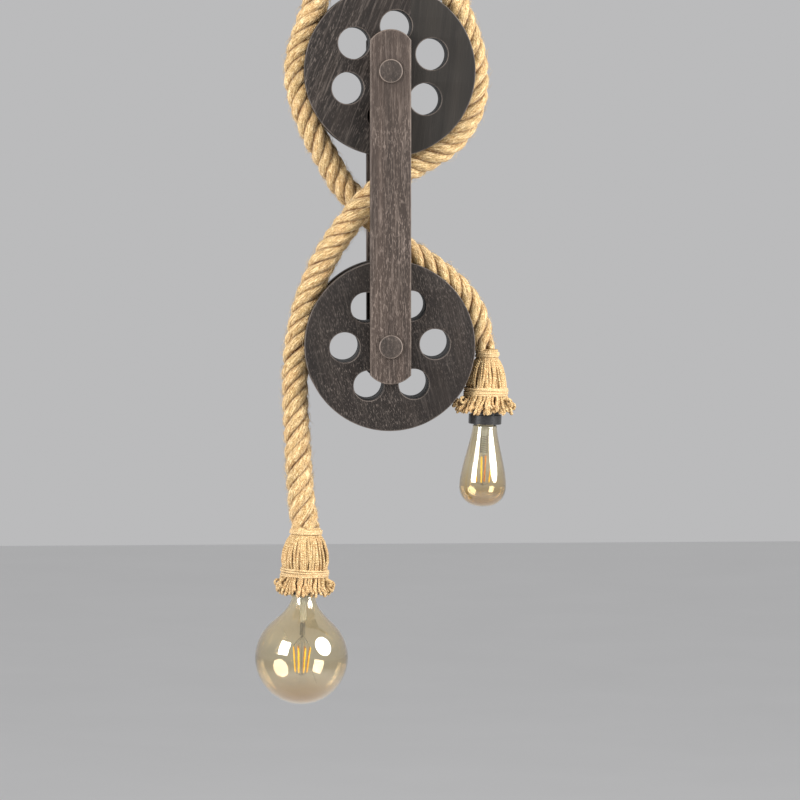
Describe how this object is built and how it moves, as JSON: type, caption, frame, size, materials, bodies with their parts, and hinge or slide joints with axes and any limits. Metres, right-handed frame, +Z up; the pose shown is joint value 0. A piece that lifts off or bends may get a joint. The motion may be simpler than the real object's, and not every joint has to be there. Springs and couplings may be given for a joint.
{
  "type": "pulley rope pendant light",
  "caption": "Ceiling-hung light: two grooved wooden wheels between two bars, a thick rope round them in a figure of eight, and a tasselled lampholder on each rope end.",
  "frame": {"origin": "centre of the ceiling plate's upper face, over the rope hook", "axes": "+Z up, out of the plate's upper face and into the ceiling; the front looks along -Y; +X to the right seen from the front"},
  "size_m": [0.3552, 0.1286, 1.1708],
  "materials": {
    "black_steel": "satin black",
    "bar_wood": "dark stain, worn arrises",
    "axle_wood": "dark stain, end grain",
    "wheel_wood": "dark stain, open grain",
    "wheel_wood_smooth": "dark stain, smooth",
    "core_wood": "dark stain",
    "spacer_felt": "matt felt",
    "jute_rope": "hairy laid jute",
    "jute_yarn": "jute yarn",
    "jute_twine": "jute twine",
    "black_plastic": "semi-gloss black",
    "holder_ceramic": "glazed",
    "brass": "plain",
    "cap_metal": "rolled",
    "cap_glass": "black glass",
    "bulb_glass": "amber tinted",
    "stem_glass": "clear",
    "filament": "yellow phosphor",
    "filament_wire": "bright wire"
  },
  "bodies": {
    "ceiling": {"ceiling_plate": "black_steel", "ceiling_eye": "black_steel"},
    "hook": {"rope_hook": "black_steel"},
    "block": {"front_bar": "bar_wood", "rear_bar": "bar_wood", "upper_axle": "axle_wood", "lower_axle": "axle_wood", "upper_front_spacer": "spacer_felt", "upper_rear_spacer": "spacer_felt", "lower_front_spacer": "spacer_felt", "lower_rear_spacer": "spacer_felt", "left_rope_run": "jute_rope", "right_rope_run": "jute_rope"},
    "upper_wheel": {"upper_front_board_left": "wheel_wood", "upper_front_board_right": "wheel_wood_smooth", "upper_core": "core_wood", "upper_rear_flange": "wheel_wood"},
    "lower_wheel": {"lower_front_flange": "wheel_wood", "lower_core": "core_wood", "lower_rear_flange": "wheel_wood"},
    "left_lamp": {"left_rope_tail": "jute_rope", "left_tassel": "jute_yarn", "left_top_binding": "jute_twine", "left_lower_binding": "jute_twine", "left_fringe": "jute_yarn", "left_cord_grip": "black_plastic", "left_holder_cap": "black_plastic", "left_holder_body": "black_plastic", "left_holder_ring": "black_plastic", "left_holder_core": "holder_ceramic", "left_holder_thread": "brass", "left_holder_contact": "brass"},
    "left_bulb": {"left_glass": "bulb_glass", "left_bulb_cap": "cap_metal", "left_cap_insulator": "cap_glass", "left_tip_contact": "cap_metal", "left_stem": "stem_glass", "left_filaments": "filament", "left_filament_wires": "filament_wire"},
    "right_lamp": {"right_rope_tail": "jute_rope", "right_tassel": "jute_yarn", "right_top_binding": "jute_twine", "right_lower_binding": "jute_twine", "right_fringe": "jute_yarn", "right_cord_grip": "black_plastic", "right_holder_cap": "black_plastic", "right_holder_body": "black_plastic", "right_holder_ring": "black_plastic", "right_holder_core": "holder_ceramic", "right_holder_thread": "brass", "right_holder_contact": "brass"},
    "right_bulb": {"right_glass": "bulb_glass", "right_bulb_cap": "cap_metal", "right_cap_insulator": "cap_glass", "right_tip_contact": "cap_metal", "right_stem": "stem_glass", "right_filaments": "filament", "right_filament_wires": "filament_wire"}
  },
  "joints": [
    {"name": "hook_swing", "type": "hinge", "parent": "ceiling", "child": "hook", "pos_m": [0, 0, -0.037], "axis": [1, 0, 0], "range_deg": [-15, 15]},
    {"name": "side_swing", "type": "hinge", "parent": "hook", "child": "block", "pos_m": [0, 0, -0.1273], "axis": [0, 1, 0], "range_deg": [-10, 10]},
    {"name": "upper_wheel_spin", "type": "hinge", "parent": "block", "child": "upper_wheel", "pos_m": [0.006, 0, -0.31], "axis": [0, 1, 0], "continuous": true},
    {"name": "lower_wheel_spin", "type": "hinge", "parent": "block", "child": "lower_wheel", "pos_m": [0.006, 0, -0.68], "axis": [0, 1, 0], "continuous": true},
    {"name": "left_lamp_swing", "type": "hinge", "parent": "block", "child": "left_lamp", "pos_m": [-0.118, 0, -0.757], "axis": [0, 1, 0], "range_deg": [-12, 12]},
    {"name": "right_lamp_swing", "type": "hinge", "parent": "block", "child": "right_lamp", "pos_m": [0.136, 0, -0.68], "axis": [0, -1, 0], "range_deg": [-2, 12]},
    {"name": "left_bulb_out", "type": "slide", "parent": "left_lamp", "child": "left_bulb", "axis": [-0.0384, 0, -0.9993], "range_m": [0, 0.035]},
    {"name": "right_bulb_out", "type": "slide", "parent": "right_lamp", "child": "right_bulb", "axis": [-0.0349, 0, -0.9994], "range_m": [0, 0.035]}
  ]
}
